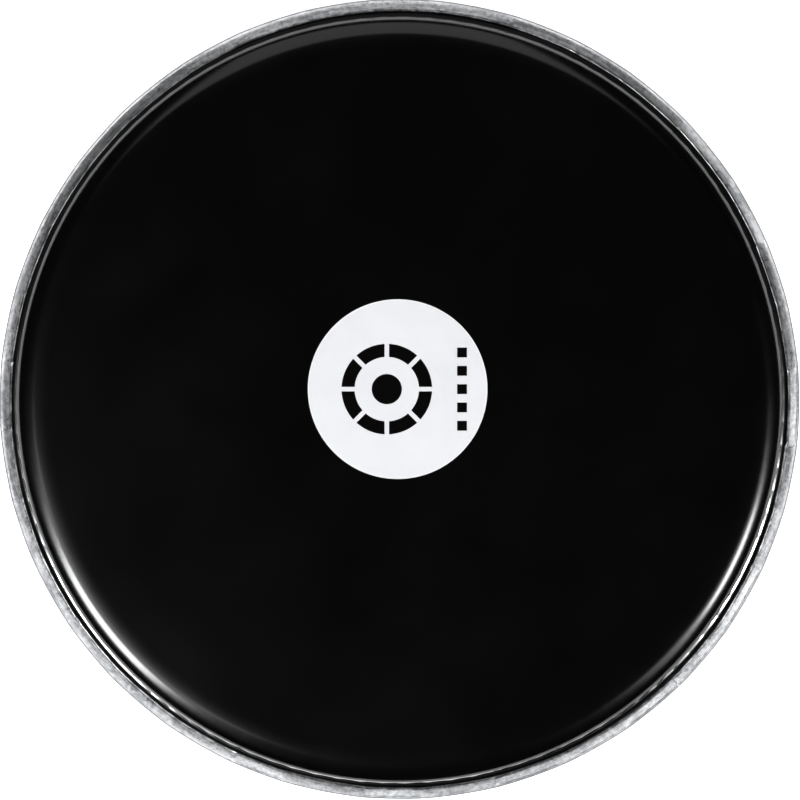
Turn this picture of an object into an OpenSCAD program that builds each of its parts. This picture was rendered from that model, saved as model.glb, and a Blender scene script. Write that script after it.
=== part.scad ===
// Synthetic drumhead for a hand drum: a moulded film held in a crimped metal flesh hoop.
// The base of the hoop lies on Z = 0 and the drum's axis is Z. The playing surface faces +Z.
// Angles given as clock angles turn clockwise from +Y, seen from above.

/* [Flesh hoop] */
// Outside diameter of the hoop
hoop_d = 320; // [230:1:460]
// Height of the top of the crimped lip above the base
hoop_h = 9.5; // [9.3:0.1:10]
// Radial width of the channel from its inner wall to the outside
hoop_w = 6.4; // [6.3:0.1:6.8]
// Thickness of the rolled sheet
hoop_wall = 0.9; // [0.7:0.05:0.95]
// Radial distance from the outside to the innermost point of the lip
lip_reach = 5.3; // [5.1:0.1:5.4]
// Outside radius of the bend between the outer wall and the crimped flange
bend_r = 2.5; // [2:0.1:3]
// Slope at which the bend becomes the flange, in degrees
bend_angle = 45; // [43:1:48]
// Slope of the flange at its lip, in degrees
lip_angle = 35; // [32:1:38]
// Outside radius of the two lower corners
base_corner_r = 1.2; // [1:0.1:1.4]
// Height of the inner wall
inner_wall_h = 6.8; // [6:0.1:6.9]
// Clock angle of the butt joint, in degrees
seam_clock = 135.7; // [0:0.1:359]
// Gap left in the butt joint
seam_gap = 0.3; // [0.1:0.05:0.6]

/* [Film] */
// Thickness of the film
film_t = 0.25; // [0.19:0.01:0.3]
// Radius of the soft lead-in between the playing surface and the shoulder
lead_in_r = 60; // [30:5:90]
// Slope at which the lead-in becomes the shoulder, in degrees
lead_in_angle = 5; // [2:1:8]
// Radius of the collar's shoulder
shoulder_r = 11; // [7:0.5:13]
// Slope of the collar at the end of the shoulder, in degrees
collar_angle = 49; // [46:0.5:60]
// Height of the straight stretch between the shoulder and the crease
wall_h = 0.1; // [0.1:0.1:4]
// Radius of the crease between the collar and the ledge at its foot
crease_r = 0.3; // [0.1:0.05:0.5]
// Slope of that ledge, in degrees
ledge_angle = 20; // [14:1:26]
// Radial width of the ledge
ledge_w = 0.55; // [0.3:0.05:1]
// Radius of the bend where the ledge turns down into the channel
foot_r = 2.4; // [2:0.1:2.6]
// Height of the centre of that bend
foot_z = 7.6; // [7.3:0.05:7.7]
// Height of the film's cut edge inside the channel
hem_h = 4.6; // [3.6:0.1:4.8]

/* [Locking ring] */
// Radial thickness of the ring that the film hooks under
ring_w = 3.5; // [3:0.1:3.6]
// Gap between the two ends of the ring
ring_gap = 1.5; // [0.5:0.1:3]

/* [Splice] */
// Length of the strip that bridges the butt joint, along its curve
splice_len = 36; // [20:1:60]
// Thickness of the strip
splice_t = 0.35; // [0.2:0.05:0.4]
// Height of the strip
splice_h = 2.8; // [1.6:0.1:2.8]

/* [Label] */
// Diameter of the printed disc
label_d = 71.4; // [40:0.2:90]
// Distance of its centre to the right of the drum's axis
label_x = -0.8; // [-10:0.1:10]
// Distance of its centre above the drum's axis
label_y = 4.1; // [-10:0.1:10]
// Thickness of the white print
label_t = 0.08; // [0.05:0.01:0.15]
// Thickness of the black print on it
mark_t = 0.04; // [0.03:0.01:0.08]
// Outside diameter of the segmented ring in the mark
mark_d = 36; // [24:1:40]
// Width of that ring
mark_ring_w = 5.2; // [3:0.1:6]
// Number of segments in the ring
mark_segments = 8; // [4:1:12]
// Width of the gaps between the segments
mark_gap = 1.8; // [1:0.1:2.5]
// Diameter of the dot in its middle
mark_dot_d = 12; // [6:0.5:14]
// Distance of the mark's centre to the left of the label's centre
mark_shift = 4.3; // [0:0.1:6]
// Side of the small squares beside the mark
square_side = 3.9; // [2:0.1:4.5]
// Number of small squares
square_count = 5; // [3:1:6]
// Height of the column of squares
square_column = 33; // [26:0.5:34]
// Distance of the column to the right of the label's centre
square_shift = 25.6; // [20:0.1:27]

/* [Hidden] */

round_facets = 180;
small_facets = 48;
lead_in_steps = 4;
shoulder_steps = 10;
crease_steps = 3;
foot_steps = 7;
hook_steps = 16;
corner_steps = 6;
inner_corner_steps = 4;
flange_steps = 4;
nose_steps = 8;
fit_gap = 0.05;
cut_margin = 1;

// Hoop, in its radial section: radius first, then height
hoop_r = hoop_d / 2;
inner_r = hoop_r - hoop_w;
channel_in_r = inner_r + hoop_wall;
channel_out_r = hoop_r - hoop_wall;

// The film hooks under the locking ring, between the ring and the channel
hook_in = ring_w / 2 + fit_gap;
hook_out = hook_in + film_t;
hook_r = channel_in_r + fit_gap + hook_out;
hook_z = hoop_wall + fit_gap + hook_out;

// The flange is a slightly crowned arc from the bend to the lip
lip_nose_r = hoop_wall / 2;
lip_nose_cr = hoop_r - lip_reach + lip_nose_r;
lip_nose_cz = hoop_h - lip_nose_r;
flange_end_r = lip_nose_cr + lip_nose_r * sin(lip_angle);
flange_end_z = lip_nose_cz + lip_nose_r * cos(lip_angle);
bend_cr = hoop_r - bend_r;
flange_start_r = bend_cr + bend_r * sin(bend_angle);
flange_r = (flange_start_r - flange_end_r) / (sin(bend_angle) - sin(lip_angle));
flange_cr = flange_end_r - flange_r * sin(lip_angle);
flange_cz = flange_end_z - flange_r * cos(lip_angle);
bend_cz = flange_cz + (flange_r - bend_r) * cos(bend_angle);

// The locking ring bears on the underside of the flange
ring_reach = flange_r - hoop_wall - fit_gap - ring_w / 2;
ring_top_z = flange_cz + sqrt(ring_reach ^ 2 - (hook_r - flange_cr) ^ 2);

// Film, in the same section, worked out from the channel inwards and upwards
film_run_r = hook_r - hook_in;
foot_cr = film_run_r - foot_r;
ledge_start_r = foot_cr + foot_r * sin(ledge_angle) - ledge_w;
ledge_start_z = foot_z + foot_r * cos(ledge_angle) + ledge_w * tan(ledge_angle);
crease_cr = ledge_start_r + crease_r * sin(ledge_angle);
crease_cz = ledge_start_z + crease_r * cos(ledge_angle);
wall_top_r = crease_cr - crease_r * sin(collar_angle) - wall_h / tan(collar_angle);
wall_top_z = crease_cz - crease_r * cos(collar_angle) + wall_h;
shoulder_cr = wall_top_r - shoulder_r * sin(collar_angle);
shoulder_cz = wall_top_z - shoulder_r * cos(collar_angle);
lead_in_cr = shoulder_cr - (lead_in_r - shoulder_r) * sin(lead_in_angle);
lead_in_cz = shoulder_cz - (lead_in_r - shoulder_r) * cos(lead_in_angle);
film_h = lead_in_cz + lead_in_r;
shoulder_step = 4;
flange_step = 2;

// Directions in plan
seam_angle = 90 - seam_clock;
ring_gap_angle = seam_angle + 180;
splice_angle = splice_len / (2 * PI * channel_out_r) * 360;
splice_z = base_corner_r;

// Points on a convex arc, where the slope of the surface runs from one angle to another
function slope_arc(cr, cz, rad, from, to, steps) =
    [for (i = [0:steps]) let (s = from + (to - from) * i / steps) [cr + rad * sin(s), cz + rad * cos(s)]];

// Points on a round arc, between two angles counted from the outward direction
function arc(cr, cz, rad, from, to, steps) =
    [for (i = [0:steps]) let (a = from + (to - from) * i / steps) [cr + rad * cos(a), cz + rad * sin(a)]];

// One face of the film's shoulder, crease, ledge and foot, set in from the outer face by a distance.
// The crease curves the other way, so its radius counts as negative.
function collar_run(inset) = concat(
    slope_arc(shoulder_cr, shoulder_cz, shoulder_r - inset, lead_in_angle + shoulder_step, collar_angle,
        shoulder_steps),
    slope_arc(crease_cr, crease_cz, -crease_r - inset, collar_angle, ledge_angle, crease_steps),
    slope_arc(foot_cr, foot_z, foot_r - inset, ledge_angle, 90, foot_steps)
);

function flipped(points) = [for (i = [len(points) - 1:-1:0]) points[i]];

module film_section() {
    top_face = concat(
        [[0, film_h]],
        slope_arc(lead_in_cr, lead_in_cz, lead_in_r, 0, lead_in_angle, lead_in_steps),
        collar_run(0),
        arc(hook_r, hook_z, hook_in, 180, 360, hook_steps),
        [[hook_r + hook_in, hem_h]]
    );
    under_face = concat(
        [[0, film_h - film_t]],
        slope_arc(lead_in_cr, lead_in_cz, lead_in_r - film_t, 0, lead_in_angle, lead_in_steps),
        collar_run(film_t),
        arc(hook_r, hook_z, hook_out, 180, 360, hook_steps),
        [[hook_r + hook_out, hem_h]]
    );
    polygon(concat(top_face, flipped(under_face)));
}

// Moulded film: flat playing surface, round collar, narrow ledge and the hem hooked in the channel
module drumhead_film() {
    color("#101012")
        rotate_extrude($fn = round_facets)
            film_section();
}

// Channel wall all the way round: base, outer wall, flange with its round lip, and back to the inner wall
module hoop_section() {
    outside = concat(
        arc(inner_r + base_corner_r, base_corner_r, base_corner_r, 180, 270, corner_steps),
        arc(hoop_r - base_corner_r, base_corner_r, base_corner_r, 270, 360, corner_steps),
        arc(bend_cr, bend_cz, bend_r, 0, 90 - bend_angle, corner_steps),
        arc(flange_cr, flange_cz, flange_r, 90 - bend_angle + flange_step, 90 - lip_angle, flange_steps),
        arc(lip_nose_cr, lip_nose_cz, lip_nose_r, 90 - lip_angle, 270 - lip_angle, nose_steps)
    );
    inside = concat(
        arc(flange_cr, flange_cz, flange_r - hoop_wall, 90 - lip_angle, 90 - bend_angle + flange_step,
            flange_steps),
        arc(bend_cr, bend_cz, bend_r - hoop_wall, 90 - bend_angle, 0, corner_steps),
        arc(hoop_r - base_corner_r, base_corner_r, base_corner_r - hoop_wall, 360, 270, inner_corner_steps),
        arc(inner_r + base_corner_r, base_corner_r, base_corner_r - hoop_wall, 270, 180, inner_corner_steps),
        arc(inner_r + lip_nose_r, inner_wall_h - lip_nose_r, lip_nose_r, 0, 180, nose_steps)
    );
    polygon(concat(outside, inside));
}

// Thin wedge of space across the ring's section, at an angle in plan
module cut_across(angle, width) {
    rotate(angle)
        translate([inner_r - cut_margin, -width / 2, -cut_margin])
            cube([hoop_w + 2 * cut_margin, width, hoop_h + 2 * cut_margin]);
}

// Roll-formed channel, open upwards, crimped shut on the film and butted at its seam
module flesh_hoop() {
    color("#c4c7cb")
        difference() {
            rotate_extrude($fn = round_facets)
                hoop_section();
            cut_across(seam_angle, seam_gap);
        }
}

// Split ring with round edges, which the hem hooks under
module locking_ring() {
    color("#9a9ea3")
        difference() {
            rotate_extrude($fn = round_facets)
                union() {
                    translate([hook_r, hook_z])
                        circle(r = ring_w / 2, $fn = small_facets);
                    translate([hook_r, ring_top_z])
                        circle(r = ring_w / 2, $fn = small_facets);
                    translate([hook_r - ring_w / 2, hook_z])
                        square([ring_w, ring_top_z - hook_z]);
                }
            cut_across(ring_gap_angle, ring_gap);
        }
}

// Strip inside the outer wall that bridges the butt joint
module hoop_splice() {
    color("#85898e")
        rotate(seam_angle - splice_angle / 2)
            rotate_extrude(angle = splice_angle, $fn = round_facets)
                translate([channel_out_r - splice_t, splice_z])
                    square([splice_t, splice_h]);
}

// White printed disc on the playing surface
module label_disc() {
    color("#eceef2")
        translate([label_x, label_y, film_h])
            cylinder(h = label_t, d = label_d, $fn = round_facets);
}

// Broken ring round a dot
module ring_mark() {
    cylinder(h = mark_t, d = mark_dot_d, $fn = small_facets);
    difference() {
        cylinder(h = mark_t, d = mark_d, $fn = round_facets);
        translate([0, 0, -cut_margin])
            cylinder(h = mark_t + 2 * cut_margin, d = mark_d - 2 * mark_ring_w, $fn = round_facets);
        for (i = [0:mark_segments - 1])
            rotate(360 / mark_segments * i)
                translate([0, -mark_gap / 2, -cut_margin])
                    cube([mark_d, mark_gap, mark_t + 2 * cut_margin]);
    }
}

// Column of small squares
module square_mark() {
    square_pitch = (square_column - square_side) / (square_count - 1);
    for (i = [0:square_count - 1])
        translate([-square_side / 2, -square_column / 2 + square_pitch * i, 0])
            cube([square_side, square_side, mark_t]);
}

// Black print on the disc
module label_mark() {
    color("#0c0c0d")
        translate([label_x, label_y, film_h + label_t]) {
            translate([-mark_shift, 0, 0])
                ring_mark();
            translate([square_shift, 0, 0])
                square_mark();
        }
}

drumhead_film();
flesh_hoop();
locking_ring();
hoop_splice();
label_disc();
label_mark();
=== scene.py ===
"""Looks for the synthetic drumhead: film, crimped hoop, label, and a pale studio.

Sizes are in millimetres, in the CAD part's own frame, and MM turns them into metres; the studio's
own sizes are in metres. Clock angles are in degrees and turn clockwise from +Y, seen from above.
"""

import math

import bpy
import numpy as np
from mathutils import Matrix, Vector


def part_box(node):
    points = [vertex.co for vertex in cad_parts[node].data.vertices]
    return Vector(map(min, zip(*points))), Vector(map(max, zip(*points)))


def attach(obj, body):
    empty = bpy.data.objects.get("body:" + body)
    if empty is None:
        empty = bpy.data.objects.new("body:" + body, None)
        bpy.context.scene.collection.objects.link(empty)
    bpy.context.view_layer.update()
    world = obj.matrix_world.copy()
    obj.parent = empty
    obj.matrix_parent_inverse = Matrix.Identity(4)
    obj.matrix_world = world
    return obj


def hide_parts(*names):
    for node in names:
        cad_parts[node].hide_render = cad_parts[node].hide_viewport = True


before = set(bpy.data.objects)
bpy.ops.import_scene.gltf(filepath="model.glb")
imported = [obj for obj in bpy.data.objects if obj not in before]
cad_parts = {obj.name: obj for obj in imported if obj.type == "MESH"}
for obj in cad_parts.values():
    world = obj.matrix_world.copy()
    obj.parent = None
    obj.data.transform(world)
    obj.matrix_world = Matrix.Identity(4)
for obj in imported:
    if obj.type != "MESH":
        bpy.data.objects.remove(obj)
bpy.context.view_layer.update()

MM = 0.001
TURN = 2 * math.pi

# ---------------------------------------------------------------- sizes read from the frame
_, hoop_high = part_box("flesh_hoop")
_, film_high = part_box("drumhead_film")
label_low, label_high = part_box("label_disc")

HOOP_R = hoop_high.x / MM
FILM_H = film_high.z / MM
LABEL_X = (label_low.x + label_high.x) / 2 / MM
LABEL_Y = (label_low.y + label_high.y) / 2 / MM
LABEL_R = (label_high.x - label_low.x) / 2 / MM

# ---------------------------------------------------------------- the hoop's section
HOOP_W = 6.4
HOOP_H = 9.5
WALL = 0.9
LIP_REACH = 5.3
BEND_R = 2.5
BEND_ANGLE = math.radians(45)
LIP_ANGLE = math.radians(35)
CORNER_R = 1.2
INNER_WALL_H = 6.8
RING_W = 3.5
FIT_GAP = 0.05
SEAM_CLOCK = 135.7
SEAM_GAP = 0.3

# points along each stretch of the hoop's outline
CORNER_STEPS = 6
BASE_STEPS = 6
SIDE_STEPS = 4
BEND_STEPS = 14
FLANGE_STEPS = 22
NOSE_STEPS = 18
WALL_TOP_STEPS = 8
INSIDE_FLANGE_STEPS = 8
INSIDE_BEND_STEPS = 6
INSIDE_STEPS = 3

# ---------------------------------------------------------------- the film's section
FILM_T = 0.25
LEAD_IN_R = 60.0
LEAD_IN = math.radians(5)
SHOULDER_R = 11.0
COLLAR = math.radians(49)
WALL_H = 0.1
CREASE_R = 0.3
LEDGE = math.radians(20)
LEDGE_W = 0.55
FOOT_R = 2.4
FOOT_Z = 7.6
HEM_H = 4.6

# points along each stretch of the film's section, and the radii of the playing surface's inner rings
FLAT_RINGS = (30.0, 70.0, 105.0, 128.0)
LEAD_IN_STEPS = 6
SHOULDER_STEPS = 30
CREASE_STEPS = 6
FOOT_STEPS = 16
HOOK_STEPS = 12

# ---------------------------------------------------------------- places worked out from them
INNER_R = HOOP_R - HOOP_W
CHANNEL_IN = INNER_R + WALL
HOOK_IN = RING_W / 2 + FIT_GAP
HOOK_OUT = HOOK_IN + FILM_T
HOOK_CR = CHANNEL_IN + FIT_GAP + HOOK_OUT
HOOK_CZ = WALL + FIT_GAP + HOOK_OUT
NOSE_R = WALL / 2
NOSE_CR = HOOP_R - LIP_REACH + NOSE_R
NOSE_CZ = HOOP_H - NOSE_R
FLANGE_END_R = NOSE_CR + NOSE_R * math.sin(LIP_ANGLE)
FLANGE_END_Z = NOSE_CZ + NOSE_R * math.cos(LIP_ANGLE)
BEND_CR = HOOP_R - BEND_R
FLANGE_START_R = BEND_CR + BEND_R * math.sin(BEND_ANGLE)
FLANGE_R = (FLANGE_START_R - FLANGE_END_R) / (math.sin(BEND_ANGLE) - math.sin(LIP_ANGLE))
FLANGE_CR = FLANGE_END_R - FLANGE_R * math.sin(LIP_ANGLE)
FLANGE_CZ = FLANGE_END_Z - FLANGE_R * math.cos(LIP_ANGLE)
BEND_CZ = FLANGE_CZ + (FLANGE_R - BEND_R) * math.cos(BEND_ANGLE)
FOOT_CR = HOOK_CR - HOOK_IN - FOOT_R
LEDGE_START_R = FOOT_CR + FOOT_R * math.sin(LEDGE) - LEDGE_W
LEDGE_START_Z = FOOT_Z + FOOT_R * math.cos(LEDGE) + LEDGE_W * math.tan(LEDGE)
CREASE_CR = LEDGE_START_R + CREASE_R * math.sin(LEDGE)
CREASE_CZ = LEDGE_START_Z + CREASE_R * math.cos(LEDGE)
WALL_TOP_R = CREASE_CR - CREASE_R * math.sin(COLLAR) - WALL_H / math.tan(COLLAR)
WALL_TOP_Z = CREASE_CZ - CREASE_R * math.cos(COLLAR) + WALL_H
SHOULDER_CR = WALL_TOP_R - SHOULDER_R * math.sin(COLLAR)
SHOULDER_CZ = WALL_TOP_Z - SHOULDER_R * math.cos(COLLAR)
LEAD_IN_CR = SHOULDER_CR - (LEAD_IN_R - SHOULDER_R) * math.sin(LEAD_IN)
LEAD_IN_CZ = SHOULDER_CZ - (LEAD_IN_R - SHOULDER_R) * math.cos(LEAD_IN)

# ---------------------------------------------------------------- the film's fine relief
FLUTES = 105
FLUTE_STEPS = 16
FLUTE_DEPTH = 0.28
FLUTE_DROP = 0.95               # how far a ridge hangs down, for each unit that it stands out
FLUTE_STRENGTHS = (0.6, 1.1)

SWAY_DEPTH = 0.03
SWAY_FADE_R = 4.0               # the sway sets in over this much radius, from the shoulder's centre
SWAY_FADE_Z = 2.0               # and over this much height, from the hoop's top

OFF_CENTRE = 0.28
OFF_CENTRE_CLOCK = 200
OFF_CENTRE_START = 147.0
OFF_CENTRE_FADE = 4.5

# ---------------------------------------------------------------- the hoop's fine relief
JAWS = 36
JAW_STEPS = 40                  # columns of points for each jaw
JAW_START = 0.4                 # the first edge's place, in jaws
JAW_WANDER = 0.12               # how far an edge may lie from its place, in jaws
JAW_STRENGTHS = (0.15, 0.45, 0.75, 1.0)
JAW_CORNER = 0.14               # how far the hoop stands out at an edge, as a polygon's corner does

ROUND_ERROR = 0.18
ROUND_LOBES = 3
ROUND_CLOCK = 130

RIDGE_WIDTH = 0.35              # in degrees
RIDGE_LIFT = 0.18
RIDGE_IN = 0.26                 # how far a ridge pulls the lip inwards
EDGE_LIFT = 0.04
LIP_SWAY = 0.07
LIP_JITTER = 0.05
LIP_STEP = 0.07                 # difference from one jaw's stretch of lip to the next
LIP_POWER = 3                   # how soon the lip's wandering dies away down the flange

TILT = 0.07                     # a jaw's stretch of flange turns this far, in radians
LOW_FOLD = 0.08                 # and the whole flange turns this far, up at FOLD_CLOCK and down opposite
FOLD_CLOCK = 150
FOLD_PIVOT = 0.35               # the flange turns about this share of its width
BENT_BY = 0.25                  # the flange lifts fully from this share of its width on


def smooth(t):
    """0 below 0, 1 above 1, and a soft step between."""
    t = np.clip(t, 0.0, 1.0)
    return t * t * (3 - 2 * t)


def wave(angle, seed, counts, rough=0.5):
    """Repeatable ripple round the circle, about -1 to 1: sines of the given counts per turn."""
    rng = np.random.default_rng(seed)
    total = np.zeros_like(angle)
    size = 1.0
    norm = 0.0
    for count in counts:
        total += size * np.sin(count * angle + rng.uniform(0, TURN))
        norm += size
        size *= rough
    return total / norm


def clock(degrees):
    """Angle in plan, in radians from +X, of a clock angle in degrees."""
    return math.radians(90 - degrees)


# ---------------------------------------------------------------- mesh making
def slope_arc(cr, cz, rad, start, end, steps):
    """Section points (radius, height) of a convex arc between two slopes of its surface."""
    s = np.linspace(start, end, steps + 1)
    return np.stack([cr + rad * np.sin(s), cz + rad * np.cos(s)], axis=1)


def arc(cr, cz, rad, start, end, steps):
    """Section points of an arc between two angles in degrees, counted from the outward direction."""
    a = np.radians(np.linspace(start, end, steps + 1))
    return np.stack([cr + rad * np.cos(a), cz + rad * np.sin(a)], axis=1)


def line(start, end, steps):
    """Section points of a straight stretch, without its two ends."""
    t = np.linspace(0, 1, steps + 1)[1:-1, None]
    return np.array(start) * (1 - t) + np.array(end) * t


def plan_points(angles, radius, height):
    """Points in metres from angles (columns) and arrays of radius and height (columns by rows)."""
    x = radius * np.cos(angles)[:, None]
    y = radius * np.sin(angles)[:, None]
    return np.stack([x, y, height], axis=2) * MM


def make_object(name, points, faces, crease_angle):
    mesh = bpy.data.meshes.new(name)
    mesh.from_pydata(points.tolist(), [], faces)
    mesh.update()
    mesh.shade_smooth()
    mesh.set_sharp_from_angle(angle=math.radians(crease_angle))
    piece = bpy.data.objects.new(name, mesh)
    bpy.context.scene.collection.objects.link(piece)
    return piece


def grid_faces(columns, rows, wrap_columns, wrap_rows):
    """Quads of a grid of columns by rows, numbered column after column."""
    faces = []
    for i in range(columns if wrap_columns else columns - 1):
        a = i * rows
        b = ((i + 1) % columns) * rows
        for j in range(rows if wrap_rows else rows - 1):
            k = (j + 1) % rows
            faces.append((a + j, b + j, b + k, a + k))
    return faces


# ---------------------------------------------------------------- the film
def film_section(inset, hook):
    """Points of one side of the film, and how far each follows the flutes, from 0 to 1."""
    flat = [(r, FILM_H - inset) for r in FLAT_RINGS]
    lead_in = slope_arc(LEAD_IN_CR, LEAD_IN_CZ, LEAD_IN_R - inset, 0, LEAD_IN, LEAD_IN_STEPS)
    shoulder = slope_arc(SHOULDER_CR, SHOULDER_CZ, SHOULDER_R - inset, LEAD_IN, COLLAR, SHOULDER_STEPS)
    crease = slope_arc(CREASE_CR, CREASE_CZ, -CREASE_R - inset, COLLAR, LEDGE, CREASE_STEPS)
    foot = slope_arc(FOOT_CR, FOOT_Z, FOOT_R - inset, LEDGE, math.pi / 2, FOOT_STEPS)
    under_ring = arc(HOOK_CR, HOOK_CZ, hook, 180, 360, HOOK_STEPS)
    hem = [(HOOK_CR + hook, HEM_H)]
    parts = [
        (flat, 0, 0), (lead_in, 0, 0), (shoulder[1:], 0, 0),
        (crease, 1, 1), (foot, 1, 0),
        (under_ring, 0, 0), (hem, 0, 0),
    ]
    follow = np.concatenate([smooth(np.linspace(a, b, len(points))) for points, a, b in parts])
    return np.concatenate([points for points, _, _ in parts]), follow


def flute_ridges(angles):
    """Height of the flutes round the collar's foot, 0 in the troughs and 1 on the sharp ridges."""
    rng = np.random.default_rng(seed=11)
    share = (angles / TURN * FLUTES) % FLUTES
    nearest = np.round(share).astype(int) % FLUTES
    off = np.abs(share - np.round(share))
    strength = rng.uniform(*FLUTE_STRENGTHS, FLUTES)
    return (1 - 2 * off) ** 2 * strength[nearest]


def film_relief(angles, section, follow):
    """Radius and height of the film's points, columns by rows, with flutes, sway and foot off centre."""
    ridge = flute_ridges(angles)
    sway = wave(angles, seed=5, counts=(3, 7, 13, 23, 41), rough=0.7)
    above_hoop = smooth((section[:, 1] - HOOP_H) / SWAY_FADE_Z)
    on_shoulder = smooth((section[:, 0] - SHOULDER_CR) / SWAY_FADE_R) * above_hoop
    outer = smooth((section[:, 0] - OFF_CENTRE_START) / OFF_CENTRE_FADE) * (section[:, 1] > LEDGE_START_Z)
    off_centre = OFF_CENTRE * np.cos(angles - clock(OFF_CENTRE_CLOCK))
    aside = off_centre[:, None] * np.maximum(outer, follow)[None, :]
    push = FLUTE_DEPTH * ridge[:, None] * follow[None, :]
    radius = section[None, :, 0] + push + aside
    height = section[None, :, 1] - push * FLUTE_DROP + SWAY_DEPTH * sway[:, None] * on_shoulder[None, :]
    return radius, height


def make_film():
    face, follow = film_section(0.0, HOOK_IN)
    back, _ = film_section(FILM_T, HOOK_OUT)
    section = np.concatenate([face, back[::-1]])
    follow = np.concatenate([follow, follow[::-1]])
    columns = FLUTES * FLUTE_STEPS
    angles = np.arange(columns) / columns * TURN
    points = plan_points(angles, *film_relief(angles, section, follow)).reshape(-1, 3)
    rows = len(section)
    faces = [tuple(reversed(f)) for f in grid_faces(columns, rows, True, False)]
    top = len(points)
    points = np.concatenate([points, [[0, 0, FILM_H * MM], [0, 0, (FILM_H - FILM_T) * MM]]])
    for i in range(columns):
        a = i * rows
        b = ((i + 1) % columns) * rows
        faces.append((top, a, b))
        faces.append((top + 1, b + rows - 1, a + rows - 1))
    return make_object("film", points, faces, crease_angle=50)


# ---------------------------------------------------------------- the hoop
def hoop_section():
    """The hoop's outline anticlockwise, and each point's place on the flange, from 0 to 1 at the lip."""
    bend_up = 90 - math.degrees(BEND_ANGLE)
    lip_up = 90 - math.degrees(LIP_ANGLE)
    corner_in = INNER_R + CORNER_R
    corner_out = HOOP_R - CORNER_R
    inside_corner_r = CORNER_R - WALL
    base_in = arc(corner_in, CORNER_R, CORNER_R, 180, 270, CORNER_STEPS)
    base_out = arc(corner_out, CORNER_R, CORNER_R, 270, 360, CORNER_STEPS)
    bend = arc(BEND_CR, BEND_CZ, BEND_R, 0, bend_up, BEND_STEPS)
    flange = arc(FLANGE_CR, FLANGE_CZ, FLANGE_R, bend_up, lip_up, FLANGE_STEPS)
    nose = arc(NOSE_CR, NOSE_CZ, NOSE_R, lip_up, lip_up + 180, NOSE_STEPS)
    flange_inside = arc(FLANGE_CR, FLANGE_CZ, FLANGE_R - WALL, lip_up, bend_up, INSIDE_FLANGE_STEPS)
    bend_inside = arc(BEND_CR, BEND_CZ, BEND_R - WALL, bend_up, 0, INSIDE_BEND_STEPS)
    floor_out = arc(corner_out, CORNER_R, inside_corner_r, 360, 270, INSIDE_STEPS)
    floor_in = arc(corner_in, CORNER_R, inside_corner_r, 270, 180, INSIDE_STEPS)
    wall_top = arc(INNER_R + NOSE_R, INNER_WALL_H - NOSE_R, NOSE_R, 0, 180, WALL_TOP_STEPS)
    outline = np.concatenate([
        base_in, line(base_in[-1], base_out[0], BASE_STEPS),
        base_out, line(base_out[-1], bend[0], SIDE_STEPS),
        bend[:-1], flange[:-1], nose, flange_inside[1:],
        bend_inside[1:], line(bend_inside[-1], floor_out[0], INSIDE_STEPS),
        floor_out, line(floor_out[-1], floor_in[0], INSIDE_STEPS),
        floor_in, line(floor_in[-1], wall_top[0], INSIDE_STEPS),
        wall_top, line(wall_top[-1], base_in[0], SIDE_STEPS),
    ])
    on_flange = (outline[:, 0] > NOSE_CR - 2 * NOSE_R) & (outline[:, 1] > BEND_CZ)
    share = np.clip((FLANGE_START_R - outline[:, 0]) / (FLANGE_START_R - FLANGE_END_R), 0, 1) * on_flange
    return outline, share


def hoop_angles():
    """Evenly spaced columns, from one cut end at the seam round to the other."""
    gap = SEAM_GAP / HOOP_R
    start = clock(SEAM_CLOCK) + gap / 2
    return start + np.linspace(0, TURN - gap, JAWS * JAW_STEPS + 1)


def jaw_marks(angles):
    """For each angle: how far the nearest edge between two jaws is, and its strength, step and tilt."""
    rng = np.random.default_rng(seed=23)
    edges = (np.arange(JAWS) + JAW_START + rng.uniform(-JAW_WANDER, JAW_WANDER, JAWS)) / JAWS * TURN
    strength = rng.choice(JAW_STRENGTHS, JAWS)
    step = rng.uniform(-1, 1, JAWS)
    tilt = rng.uniform(-1, 1, JAWS)
    off = ((angles % TURN)[:, None] - edges[None, :] + math.pi) % TURN - math.pi
    nearest = np.argmin(np.abs(off), axis=1)
    away = off[np.arange(len(angles)), nearest]
    before = np.where(away >= 0, nearest, (nearest - 1) % JAWS)
    return away, strength[nearest], step[before], tilt[before]


def hoop_relief(angles, outline, share):
    """Radius and height of the hoop's points, columns by rows, with the marks of its crimping."""
    away, strength, step, tilt = jaw_marks(angles)
    half_jaw = TURN / JAWS / 2
    ridge = strength * np.exp(-(away / math.radians(RIDGE_WIDTH)) ** 2)
    near_edge = (1 - np.clip(np.abs(away) / half_jaw, 0, 1)) ** 2
    near_edge_mean = 1 / 3
    jitter = wave(angles, seed=3, counts=(61, 97, 151, 223, 331), rough=0.95)
    slow = wave(angles, seed=4, counts=(5, 9, 17, 29), rough=0.8)
    lobes = ROUND_ERROR * np.cos(ROUND_LOBES * (angles - clock(ROUND_CLOCK)))
    out_of_round = lobes + JAW_CORNER * (near_edge - near_edge_mean)
    fold = LOW_FOLD * np.cos(angles - clock(FOLD_CLOCK)) + TILT * tilt
    bent = smooth(share / BENT_BY)
    flange_w = FLANGE_START_R - FLANGE_END_R
    lift = (RIDGE_LIFT * ridge + EDGE_LIFT * near_edge)[:, None] * bent[None, :]
    lift = lift + fold[:, None] * (share - FOLD_PIVOT)[None, :] * bent[None, :] * flange_w
    lip = LIP_SWAY * slow + LIP_JITTER * jitter - RIDGE_IN * ridge + LIP_STEP * step
    reach = lip[:, None] * (share ** LIP_POWER)[None, :]
    middle = (BEND_ANGLE + LIP_ANGLE) / 2
    radius = outline[None, :, 0] + lift * math.sin(middle) + reach + out_of_round[:, None]
    height = outline[None, :, 1] + lift * math.cos(middle) - reach * math.tan(LIP_ANGLE)
    return radius, height


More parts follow.
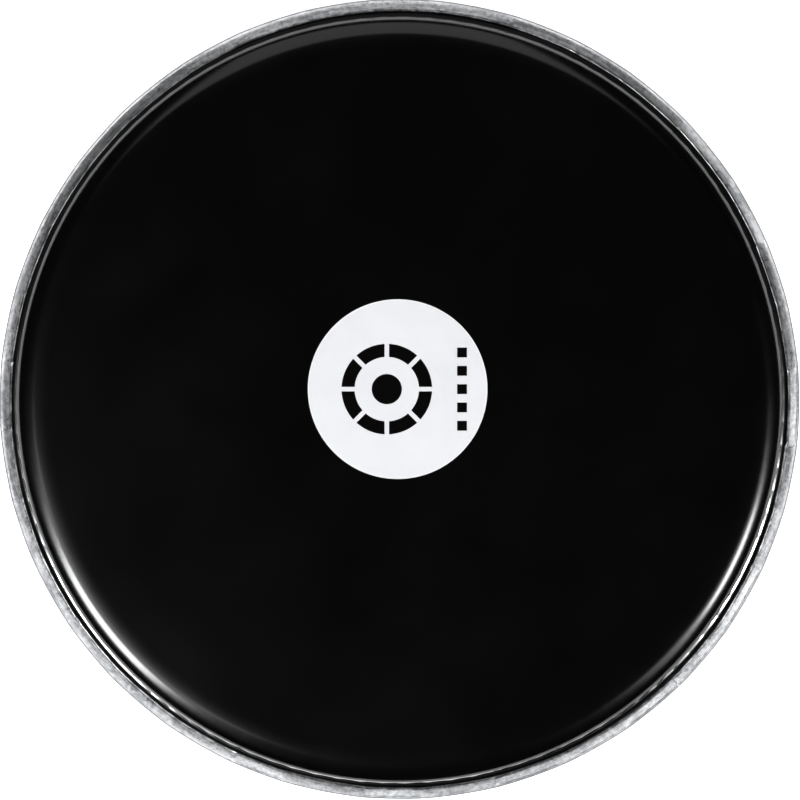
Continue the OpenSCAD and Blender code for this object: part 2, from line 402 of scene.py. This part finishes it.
def make_hoop():
    outline, share = hoop_section()
    angles = hoop_angles()
    points = plan_points(angles, *hoop_relief(angles, outline, share)).reshape(-1, 3)
    rows = len(outline)
    faces = grid_faces(len(angles), rows, False, True)
    last = (len(angles) - 1) * rows
    faces.append(tuple(reversed(range(rows))))
    faces.append(tuple(range(last, last + rows)))
    faces = [tuple(reversed(f)) for f in faces]
    return make_object("hoop", points, faces, crease_angle=50)


# ---------------------------------------------------------------- material helpers
class Shader:
    """A node material with short calls for the nodes used here."""

    def __init__(self, name):
        self.material = bpy.data.materials.new(name)
        self.material.use_nodes = True
        self.nodes = self.material.node_tree.nodes
        self.links = self.material.node_tree.links
        self.surface = self.nodes["Principled BSDF"]
        self.coords = self.add("ShaderNodeTexCoord").outputs["Object"]

    def add(self, kind, **settings):
        node = self.nodes.new(kind)
        for key, value in settings.items():
            setattr(node, key, value)
        return node

    def feed(self, socket, value):
        if isinstance(value, (int, float, tuple)):
            socket.default_value = value
        else:
            self.links.new(value, socket)

    def set(self, **values):
        for key, value in values.items():
            self.feed(self.surface.inputs[key.replace("_", " ")], value)

    def math(self, operation, a, b=0.0):
        node = self.add("ShaderNodeMath", operation=operation)
        self.feed(node.inputs[0], a)
        self.feed(node.inputs[1], b)
        return node.outputs[0]

    def scaled(self, vector, scale):
        node = self.add("ShaderNodeVectorMath", operation="MULTIPLY")
        self.feed(node.inputs[0], vector)
        self.feed(node.inputs[1], scale)
        return node.outputs[0]

    def radius(self):
        """Distance from the axis, in metres."""
        node = self.add("ShaderNodeVectorMath", operation="LENGTH")
        self.feed(node.inputs[0], self.scaled(self.coords, (1.0, 1.0, 0.0)))
        return node.outputs["Value"]

    def along(self, axis):
        """Place along one of the three axes, in metres."""
        node = self.add("ShaderNodeSeparateXYZ")
        self.feed(node.inputs[0], self.coords)
        return node.outputs[axis]

    def round_coords(self, around, outward, upward):
        """Coordinates that follow the circle: features per radian, per metre out, per metre up."""
        heading = self.add("ShaderNodeVectorMath", operation="NORMALIZE")
        self.feed(heading.inputs[0], self.scaled(self.coords, (1.0, 1.0, 0.0)))
        out = self.math("MULTIPLY", self.radius(), outward)
        up = self.math("MULTIPLY", self.along(2), upward)
        offset = self.add("ShaderNodeCombineXYZ")
        self.feed(offset.inputs[2], self.math("ADD", out, up))
        total = self.add("ShaderNodeVectorMath", operation="ADD")
        self.feed(total.inputs[0], self.scaled(heading.outputs[0], (around, around, around)))
        self.feed(total.inputs[1], offset.outputs[0])
        return total.outputs[0]

    def noise(self, vector, scale=1.0, detail=2.0, rough=0.5):
        node = self.add("ShaderNodeTexNoise")
        self.feed(node.inputs["Vector"], vector)
        node.inputs["Scale"].default_value = scale
        node.inputs["Detail"].default_value = detail
        node.inputs["Roughness"].default_value = rough
        return node.outputs[0]

    def span(self, value, between, to=(0.0, 1.0)):
        """The value carried from one range into another, and held at the ends of it."""
        node = self.add("ShaderNodeMapRange")
        self.feed(node.inputs["Value"], value)
        for key, number in zip(("From Min", "From Max", "To Min", "To Max"), (*between, *to)):
            node.inputs[key].default_value = number
        return node.outputs[0]

    def blend(self, share, first, second):
        node = self.add("ShaderNodeMix", data_type="RGBA")
        self.feed(node.inputs[0], share)
        self.feed(node.inputs[6], first)
        self.feed(node.inputs[7], second)
        return node.outputs[2]

    def bump(self, height, strength, distance, under=None):
        node = self.add("ShaderNodeBump")
        node.inputs["Strength"].default_value = strength
        node.inputs["Distance"].default_value = distance
        self.feed(node.inputs["Height"], height)
        if under is not None:
            self.feed(node.inputs["Normal"], under)
        return node.outputs[0]


def in_metres(*sizes):
    """Sizes in millimetres, turned into metres."""
    return tuple(size * MM for size in sizes)


def dress(piece, material):
    """One material over the whole piece."""
    piece.data.materials.clear()
    piece.data.materials.append(material)


# ---------------------------------------------------------------- materials
NOISE_RANGE = (0.3, 0.7)        # noise runs from 0 to 1, but is seldom outside this

FILM_BLACKS = ((0.0003, 0.0003, 0.0004, 1), (0.0008, 0.0007, 0.0008, 1))
FILM_ROUGHNESS = (0.19, 0.13)
GLOSS_EDGE = (149.5, 151.2)     # radii between which the first roughness turns into the second
HAZE_ROUGHNESS = 0.015
STREAK_START = (141.0, 149.0)   # radii between which the drawn streaks set in
STREAK_ROUGHNESS = 0.12
LEDGE_ROUGHNESS = 0.35
LEDGE_FADE = 0.2
LINE_W = 0.65                   # width of the painted highlight line on the ledge
LINE_FADE_Y = (-50.0, 30.0)     # places on the Y axis between which the painted highlight line dies away, away from the lamps
FILM_IOR = 1.62
LEDGE_IOR_GAIN = (-0.32, 2.4)   # added on the ledge, where it is dull and where it carries the painted highlight line

METAL_TONES = ((0.38, 0.39, 0.41, 1), (0.84, 0.85, 0.87, 1))
# dark colour for the rubbed grime at the lip and for the painted shade at the bend and on the flange
GRIME_AND_SHADE = (0.06, 0.062, 0.066, 1)
BEND_SHADE_HEIGHTS = (5.0, 5.4, 5.9, 6.2)    # heights where the painted dark line of shade at the bend starts, is full, and ends
LIP_GRIME = (0.45, 0.15)        # depths below the hoop's top between which rubbed grime sets in

RING_TONES = ((0.42, 0.43, 0.45, 1), (0.62, 0.63, 0.65, 1))
PRINT_WHITES = ((0.577, 0.587, 0.612, 1), (0.620, 0.627, 0.644, 1))
BEAD_WHITE = (0.67, 0.67, 0.68, 1)
BEAD_EDGE = (0.6, 0.3)          # depths inside the label's edge between which the bead of ink sets in
INK_BLACKS = ((0.0008, 0.0006, 0.0006, 1), (0.0015, 0.0012, 0.0012, 1))
PAPER_WHITES = ((0.93, 0.93, 0.93, 1), (0.95, 0.95, 0.95, 1))
PAPER_GLOW = 0.6


def ledge_masks(s):
    """Three masks: the ledge and all beyond it, the painted highlight line's sector and width, and the
    dull rest.
    """
    line_end = in_metres(LEDGE_START_R + LINE_W, LEDGE_START_R + LINE_W + LEDGE_FADE)
    ledge = s.span(s.radius(), in_metres(LEDGE_START_R - LEDGE_FADE, LEDGE_START_R))
    inside_end = s.span(s.radius(), line_end, to=(1.0, 0.0))
    # the painted highlight line is full on the lamps' side and dies away on the far side
    lit_side = s.span(s.along(1), in_metres(*LINE_FADE_Y), to=(1.0, 0.0))
    bright = s.math("MULTIPLY", lit_side, inside_end)
    dull = s.math("MULTIPLY", ledge, s.math("SUBTRACT", 1.0, bright))
    return ledge, bright, dull


def film_material():
    """Black moulded polyester: glossy, with fine drawn streaks across the shoulder and faint haze, and a
    painted highlight line on the ledge.
    """
    s = Shader("black_film")
    streaks = s.noise(s.round_coords(around=190.0, outward=160.0, upward=160.0), detail=3.0, rough=0.6)
    on_shoulder = s.span(s.radius(), in_metres(*STREAK_START))
    drawn = s.math("MULTIPLY", s.math("SUBTRACT", streaks, 0.5), on_shoulder)
    haze = s.noise(s.coords, scale=28.0, detail=3.0, rough=0.55)
    grain = s.noise(s.coords, scale=2600.0)
    s.set(Base_Color=s.blend(haze, *FILM_BLACKS))
    ledge, bright, dull = ledge_masks(s)
    plain = s.span(s.radius(), in_metres(*GLOSS_EDGE), to=FILM_ROUGHNESS)
    hazed = s.math("ADD", s.span(haze, NOISE_RANGE, to=(-HAZE_ROUGHNESS, HAZE_ROUGHNESS)), plain)
    even = s.math("ADD", hazed, s.math("MULTIPLY", dull, LEDGE_ROUGHNESS))
    s.set(Roughness=s.math("ADD", s.math("MULTIPLY", drawn, STREAK_ROUGHNESS), even))
    # painted highlight: the IOR is raised far above the film's own on the ledge's line on the lamps'
    # side, and lowered on the dull rest
    bright_or_dull = s.math("SUBTRACT", s.math("MULTIPLY", ledge, bright), dull)
    gain = s.span(bright_or_dull, (-1.0, 1.0), to=LEDGE_IOR_GAIN)
    s.set(IOR=s.math("ADD", FILM_IOR, s.math("MULTIPLY", gain, ledge)))
    streaked = s.bump(drawn, strength=0.12, distance=0.04 * MM)
    s.set(Normal=s.bump(grain, strength=0.05, distance=0.02 * MM, under=streaked))
    return s.material


def hoop_material():
    """Rolled aluminium: fine lines round the ring, clouded patches, small scuffs, rubbed grime at the
    lip, and painted shade at the outer bend and down the flange.
    """
    s = Shader("rolled_aluminium")
    lines = s.noise(s.round_coords(around=5.0, outward=2300.0, upward=2300.0), detail=3.0, rough=0.65)
    clouds = s.noise(s.coords, scale=520.0, detail=4.0, rough=0.7)
    hatch = s.noise(s.round_coords(around=260.0, outward=300.0, upward=300.0))
    patches = s.noise(s.round_coords(around=30.0, outward=700.0, upward=700.0), detail=4.0, rough=0.75)
    tone = s.math("ADD", s.math("MULTIPLY", lines, 0.5), s.math("MULTIPLY", clouds, 0.5))
    metal = s.blend(s.span(tone, (0.42, 0.58)), *METAL_TONES)
    up = s.along(2)
    # painted shade: a thin dark line round the hoop's outer bend
    above = s.span(up, in_metres(*BEND_SHADE_HEIGHTS[:2]))
    below = s.span(up, in_metres(*BEND_SHADE_HEIGHTS[2:]), to=(1.0, 0.0))
    bend_shade = s.math("MULTIPLY", below, above)
    # painted shade: the flange darker towards the outer bend, fading out towards its top
    flange_shade = s.span(up, in_metres(BEND_CZ, HOOP_H), to=(0.4, 0.0))
    painted_shade = s.math("MAXIMUM", flange_shade, bend_shade)
    on_lip = s.span(up, in_metres(HOOP_H - LIP_GRIME[0], HOOP_H - LIP_GRIME[1]))
    rubbed = s.math("MULTIPLY", on_lip, s.span(patches, (0.42, 0.6), to=(0.85, 0.2)))
    # the metal turns towards the dark colour where there is painted shade or rubbed grime
    s.set(Base_Color=s.blend(s.math("MAXIMUM", painted_shade, rubbed), metal, GRIME_AND_SHADE))
    s.set(Metallic=1.0)
    s.set(Roughness=s.span(s.math("ADD", clouds, hatch), (0.7, 1.3), to=(0.26, 0.42)))
    scuffed = s.bump(hatch, strength=0.5, distance=0.03 * MM)
    clouded = s.bump(clouds, strength=0.7, distance=0.04 * MM, under=scuffed)
    s.set(Normal=s.bump(lines, strength=0.9, distance=0.04 * MM, under=clouded))
    return s.material


def ring_material():
    """Drawn aluminium of the hidden ring and splice."""
    s = Shader("drawn_aluminium")
    lines = s.noise(s.round_coords(around=4.0, outward=3000.0, upward=3000.0), detail=3.0, rough=0.6)
    stains = s.noise(s.coords, scale=90.0, detail=3.0, rough=0.6)
    s.set(Base_Color=s.blend(stains, *RING_TONES))
    s.set(Metallic=1.0)
    s.set(Roughness=s.span(lines, NOISE_RANGE, to=(0.3, 0.5)))
    s.set(Normal=s.bump(lines, strength=0.3, distance=0.03 * MM))
    return s.material


def label_material():
    """White screen print: slightly clouded, with a thicker bead of ink at its edge."""
    s = Shader("white_print")
    clouds = s.noise(s.coords, scale=60.0, detail=3.0, rough=0.6)
    speckle = s.noise(s.coords, scale=1800.0, rough=0.6)
    centred = s.add("ShaderNodeVectorMath", operation="SUBTRACT")
    s.feed(centred.inputs[0], s.scaled(s.coords, (1.0, 1.0, 0.0)))
    s.feed(centred.inputs[1], in_metres(LABEL_X, LABEL_Y, 0.0))
    distance = s.add("ShaderNodeVectorMath", operation="LENGTH")
    s.feed(distance.inputs[0], centred.outputs[0])
    bead = s.span(distance.outputs["Value"], in_metres(LABEL_R - BEAD_EDGE[0], LABEL_R - BEAD_EDGE[1]))
    coarse = s.span(clouds, NOISE_RANGE, to=(0.0, 0.8))
    fine = s.span(speckle, NOISE_RANGE, to=(0.0, 0.2))
    tone = s.math("ADD", coarse, fine)
    s.set(Base_Color=s.blend(bead, s.blend(tone, *PRINT_WHITES), BEAD_WHITE))
    s.set(Roughness=s.span(speckle, NOISE_RANGE, to=(0.5, 0.62)))
    s.set(Normal=s.bump(speckle, strength=0.15, distance=0.02 * MM))
    return s.material


def mark_material():
    """Black screen print over the white."""
    s = Shader("black_print")
    speckle = s.noise(s.coords, scale=1500.0, rough=0.6)
    clouds = s.noise(s.coords, scale=70.0)
    s.set(Base_Color=s.blend(clouds, *INK_BLACKS))
    s.set(Roughness=s.span(speckle, NOISE_RANGE, to=(0.35, 0.5)))
    s.set(Specular_IOR_Level=0.05)
    s.set(Normal=s.bump(speckle, strength=0.15, distance=0.02 * MM))
    return s.material


def floor_material():
    """Pale matt paper of the studio, which glows a little so that it is even."""
    s = Shader("pale_floor")
    fibres = s.noise(s.coords, scale=300.0, detail=3.0, rough=0.6)
    s.set(Base_Color=s.blend(fibres, *PAPER_WHITES))
    s.set(Roughness=0.9)
    s.set(Emission_Color=(1.0, 1.0, 1.0, 1.0))
    s.set(Emission_Strength=PAPER_GLOW)
    return s.material


# ---------------------------------------------------------------- studio, in metres
FLOOR_RINGS = (0.02, 0.5, 1.2)
FLOOR_R = 2.4
FLOOR_Z = -0.00005              # just under the hoop's base
WALL_BEND_R = 0.8
WALL_BEND_STEPS = 8
STUDIO_H = 2.6
STUDIO_COLUMNS = 96
WORLD_GREY = 0.005

CAMERA_DISTANCE = 1.5
CAMERA_RIGHT = 0.00014          # the photograph isn't quite centred on the hoop
CAMERA_DOWN = 0.000216
SENSOR_MM = 36.0
CLIP_END = 20


def turned_sheet(name, section, fill_middle):
    """An open sheet turned about the axis, from section points in metres."""
    section = np.array(section)
    rows = len(section)
    angles = np.arange(STUDIO_COLUMNS) / STUDIO_COLUMNS * TURN
    radius = np.broadcast_to(section[None, :, 0] / MM, (STUDIO_COLUMNS, rows))
    height = np.broadcast_to(section[None, :, 1] / MM, (STUDIO_COLUMNS, rows))
    points = plan_points(angles, radius, height).reshape(-1, 3)
    faces = grid_faces(STUDIO_COLUMNS, rows, True, False)
    if fill_middle:
        faces.append(tuple(i * rows for i in range(STUDIO_COLUMNS)))
    return make_object(name, points, faces, crease_angle=60)


def make_floor():
    """A round sheet of pale paper, and the paper wall round it that curves up from its edge."""
    floor = turned_sheet("floor", [(r, FLOOR_Z) for r in (*FLOOR_RINGS, FLOOR_R)], fill_middle=True)
    dress(floor, floor_material())
    steps = np.linspace(0, math.pi / 2, WALL_BEND_STEPS + 1)
    curve = [(FLOOR_R + WALL_BEND_R * math.sin(a), WALL_BEND_R * (1 - math.cos(a))) for a in steps]
    wall = turned_sheet("wall", curve + [(FLOOR_R + WALL_BEND_R, STUDIO_H)], fill_middle=False)
    wall.visible_glossy = False
    dress(wall, floor.data.materials[0])
    return floor, wall


def softbox(name, clock_angle, elevation, distance, width, height, radiance):
    """A soft rectangular light aimed at the drumhead, given by the brightness of its face."""
    light = bpy.data.lights.new(name, "AREA")
    light.shape = "RECTANGLE"
    light.size = width
    light.size_y = height
    light.energy = radiance * math.pi * width * height
    holder = bpy.data.objects.new(name, light)
    bpy.context.scene.collection.objects.link(holder)
    plan = clock(clock_angle)
    rise = math.radians(elevation)
    towards = Vector((math.cos(rise) * math.cos(plan), math.cos(rise) * math.sin(plan), math.sin(rise)))
    holder.location = towards * distance
    holder.rotation_euler = towards.to_track_quat("Z", "Y").to_euler()
    holder.visible_camera = False


def make_lights():
    """Two softboxes, each a bright core in a dim halo, a dim panel, and a nearly black world."""
    softbox("left_core", 233, 42, distance=1.3, width=0.38, height=0.40, radiance=21.5)
    softbox("left_halo", 235, 51, distance=1.4, width=0.62, height=0.95, radiance=2.0)
    softbox("right_core", 116, 40, distance=1.3, width=0.28, height=0.28, radiance=24.0)
    softbox("right_halo", 119, 43, distance=1.4, width=0.7, height=0.6, radiance=1.4)
    softbox("back_wall", 356, 39, distance=1.6, width=1.4, height=1.6, radiance=0.6)
    world = bpy.data.worlds.new("studio")
    world.use_nodes = True
    grey = (WORLD_GREY, WORLD_GREY, WORLD_GREY, 1)
    world.node_tree.nodes["Background"].inputs["Color"].default_value = grey
    bpy.context.scene.world = world


def make_camera():
    """Looks straight down, with the hoop's widest circle filling the frame."""
    across = 2 * HOOP_R * MM
    data = bpy.data.cameras.new("camera")
    data.sensor_width = SENSOR_MM
    data.lens = SENSOR_MM * CAMERA_DISTANCE / across
    data.clip_end = CLIP_END
    camera = bpy.data.objects.new("camera", data)
    camera.location = (CAMERA_RIGHT, -CAMERA_DOWN, BEND_CZ * MM + CAMERA_DISTANCE)
    bpy.context.scene.collection.objects.link(camera)
    bpy.context.scene.camera = camera


# ---------------------------------------------------------------- putting it together
make_camera()
make_lights()
for sheet in make_floor():
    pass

film = make_film()
dress(film, film_material())
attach(film, "root")
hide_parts("drumhead_film")

hoop = make_hoop()
dress(hoop, hoop_material())
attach(hoop, "root")
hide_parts("flesh_hoop")

hidden_metal = ring_material()
dress(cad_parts["locking_ring"], hidden_metal)
dress(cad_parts["hoop_splice"], hidden_metal)
dress(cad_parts["label_disc"], label_material())
dress(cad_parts["label_mark"], mark_material())

bpy.context.scene.view_settings.view_transform = "Standard"
